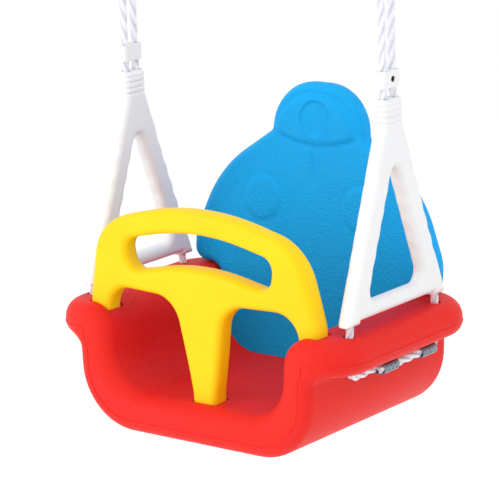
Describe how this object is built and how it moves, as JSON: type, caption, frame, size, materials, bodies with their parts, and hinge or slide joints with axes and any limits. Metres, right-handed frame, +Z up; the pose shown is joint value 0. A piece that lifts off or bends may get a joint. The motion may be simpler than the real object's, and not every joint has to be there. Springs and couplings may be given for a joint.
{
  "type": "toddler bucket swing",
  "caption": "Toddler bucket swing: plastic U-shaped seat with lift-out backrest and front T-bar, hung by triangular handles on rope loops.",
  "frame": {"origin": "middle of the flat underside of the seat, midway between the rope holes", "axes": "+Z up along the hanging ropes, -Y towards the T-bar at the front, +X towards the right handle as seen from the front"},
  "size_m": [0.422, 0.2852, 0.602],
  "materials": {
    "seat_plastic": "satin, fine leather grain",
    "back_plastic": "satin, fine leather grain",
    "bar_plastic": "satin",
    "handle_plastic": "smooth satin",
    "clamp_plastic": "smooth satin",
    "rope_fibre": "three strand laid rope",
    "screw_steel": "blackened",
    "crimp_steel": "zinc plated",
    "ring_steel": "zinc plated",
    "thimble_steel": "zinc plated"
  },
  "bodies": {
    "hangers": {"hanging_ring_left": "ring_steel", "hanging_ring_right": "ring_steel"},
    "swing": {"seat": "seat_plastic", "handle_left": "handle_plastic", "rope_left": "rope_fibre", "thimble_left": "thimble_steel", "crimp_front_left": "crimp_steel", "crimp_rear_left": "crimp_steel", "handle_right": "handle_plastic", "rope_right": "rope_fibre", "thimble_right": "thimble_steel", "crimp_front_right": "crimp_steel", "crimp_rear_right": "crimp_steel"},
    "t_bar": {"t_bar": "bar_plastic"},
    "backrest": {"backrest": "back_plastic"},
    "rope_clamp_left": {"rope_clamp_left": "clamp_plastic", "clamp_screw_left": "screw_steel"},
    "rope_clamp_right": {"rope_clamp_right": "clamp_plastic", "clamp_screw_right": "screw_steel"}
  },
  "joints": [
    {"name": "swing_on_rings", "type": "hinge", "parent": "hangers", "child": "swing", "pos_m": [0, 0, 0.542], "axis": [1, 0, 0], "range_deg": [-50, 50]},
    {"name": "t_bar_lift", "type": "slide", "parent": "swing", "child": "t_bar", "axis": [0, 0, 1], "range_m": [0, 0.045]},
    {"name": "backrest_lift", "type": "slide", "parent": "swing", "child": "backrest", "axis": [0, 0.1219, 0.9925], "range_m": [0, 0.12]},
    {"name": "clamp_slide_left", "type": "slide", "parent": "swing", "child": "rope_clamp_left", "axis": [0, 0, 1], "range_m": [-0.01, 0.04]},
    {"name": "clamp_slide_right", "type": "slide", "parent": "swing", "child": "rope_clamp_right", "axis": [0, 0, 1], "range_m": [-0.01, 0.04]}
  ]
}
